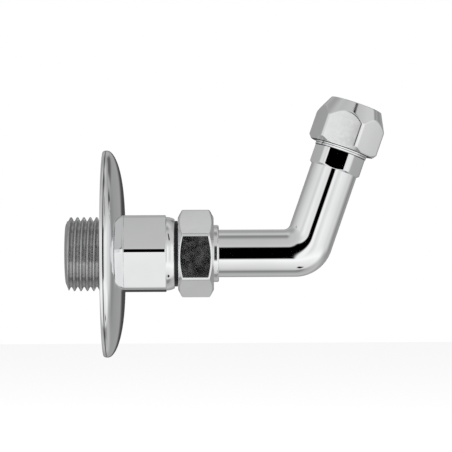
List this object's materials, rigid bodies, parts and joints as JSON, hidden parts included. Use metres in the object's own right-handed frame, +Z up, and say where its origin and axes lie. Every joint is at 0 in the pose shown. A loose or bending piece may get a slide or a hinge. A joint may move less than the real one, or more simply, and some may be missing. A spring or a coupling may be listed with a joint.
{
  "type": "angle fitting",
  "caption": "Chromed angle fitting for a wall outlet: threaded nipple with domed rosette, union nut, upturned elbow and a compression end for plain pipe.",
  "frame": {"origin": "on the axis of the wall thread, in the plane of the wall on which the rosette's rim stands", "axes": "+X along the wall thread out of the wall, +Z up to the side to which the elbow turns, the bend in the XZ plane"},
  "size_m": [0.0902, 0.0584, 0.0736],
  "materials": {
    "nipple_chrome": "polished",
    "rosette_chrome": "polished",
    "gasket_fibre": "matte",
    "spring_wire": "satin",
    "nut_chrome": "polished",
    "elbow_chrome": "polished",
    "raw_brass": "turned"
  },
  "bodies": {
    "root": {"wall_nipple": "nipple_chrome", "rosette": "rosette_chrome", "union_gasket": "gasket_fibre", "retaining_ring": "spring_wire", "union_nut": "nut_chrome", "elbow": "elbow_chrome", "olive": "raw_brass", "compression_nut": "nut_chrome"}
  },
  "joints": []
}
